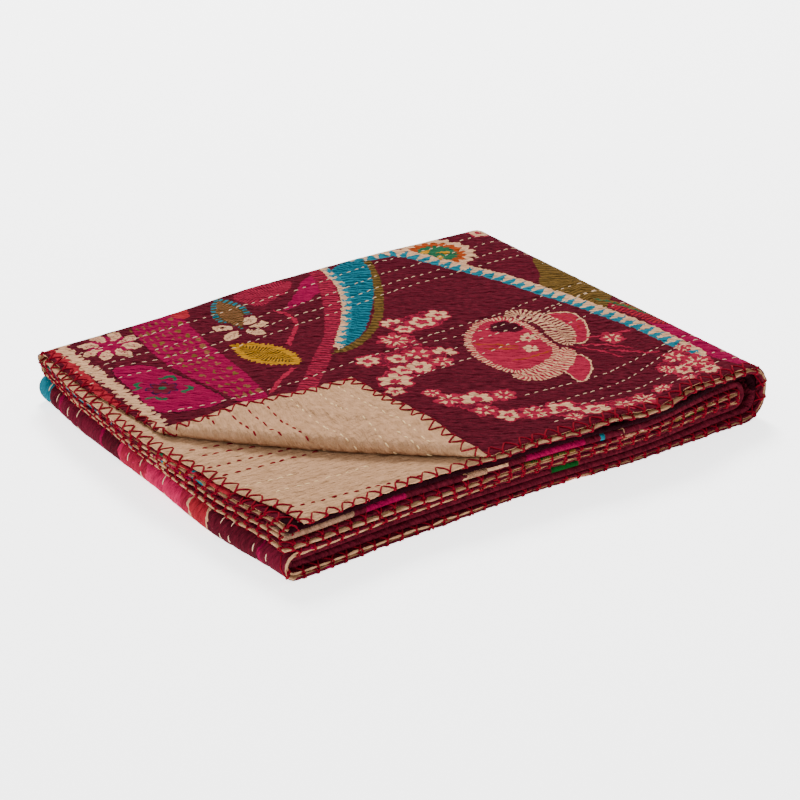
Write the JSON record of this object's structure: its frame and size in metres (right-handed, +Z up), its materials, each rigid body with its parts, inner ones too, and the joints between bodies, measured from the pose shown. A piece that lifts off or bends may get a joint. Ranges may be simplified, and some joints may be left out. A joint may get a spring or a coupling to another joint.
{
  "type": "folded kantha quilt",
  "caption": "Folded cotton kantha quilt with a printed face, plain beige backing and red whip-stitched edges, one corner turned back.",
  "frame": {"origin": "middle of the pile's box, on the surface that it rests on", "axes": "+X along the folded quilt's long side towards its rounded turns, +Y from the loose front edges to the back folds, +Z up"},
  "size_m": [0.3916, 0.3188, 0.0498],
  "materials": {
    "printed_cotton": "matte printed cotton, hand quilted",
    "beige_cotton": "matte plain-woven cotton, hand quilted",
    "red_thread": "twisted cotton thread, slight sheen",
    "cream_thread": "twisted cotton thread, slight sheen"
  },
  "bodies": {
    "root": {"printed_face": "printed_cotton", "plain_backing": "beige_cotton"}
  },
  "joints": []
}
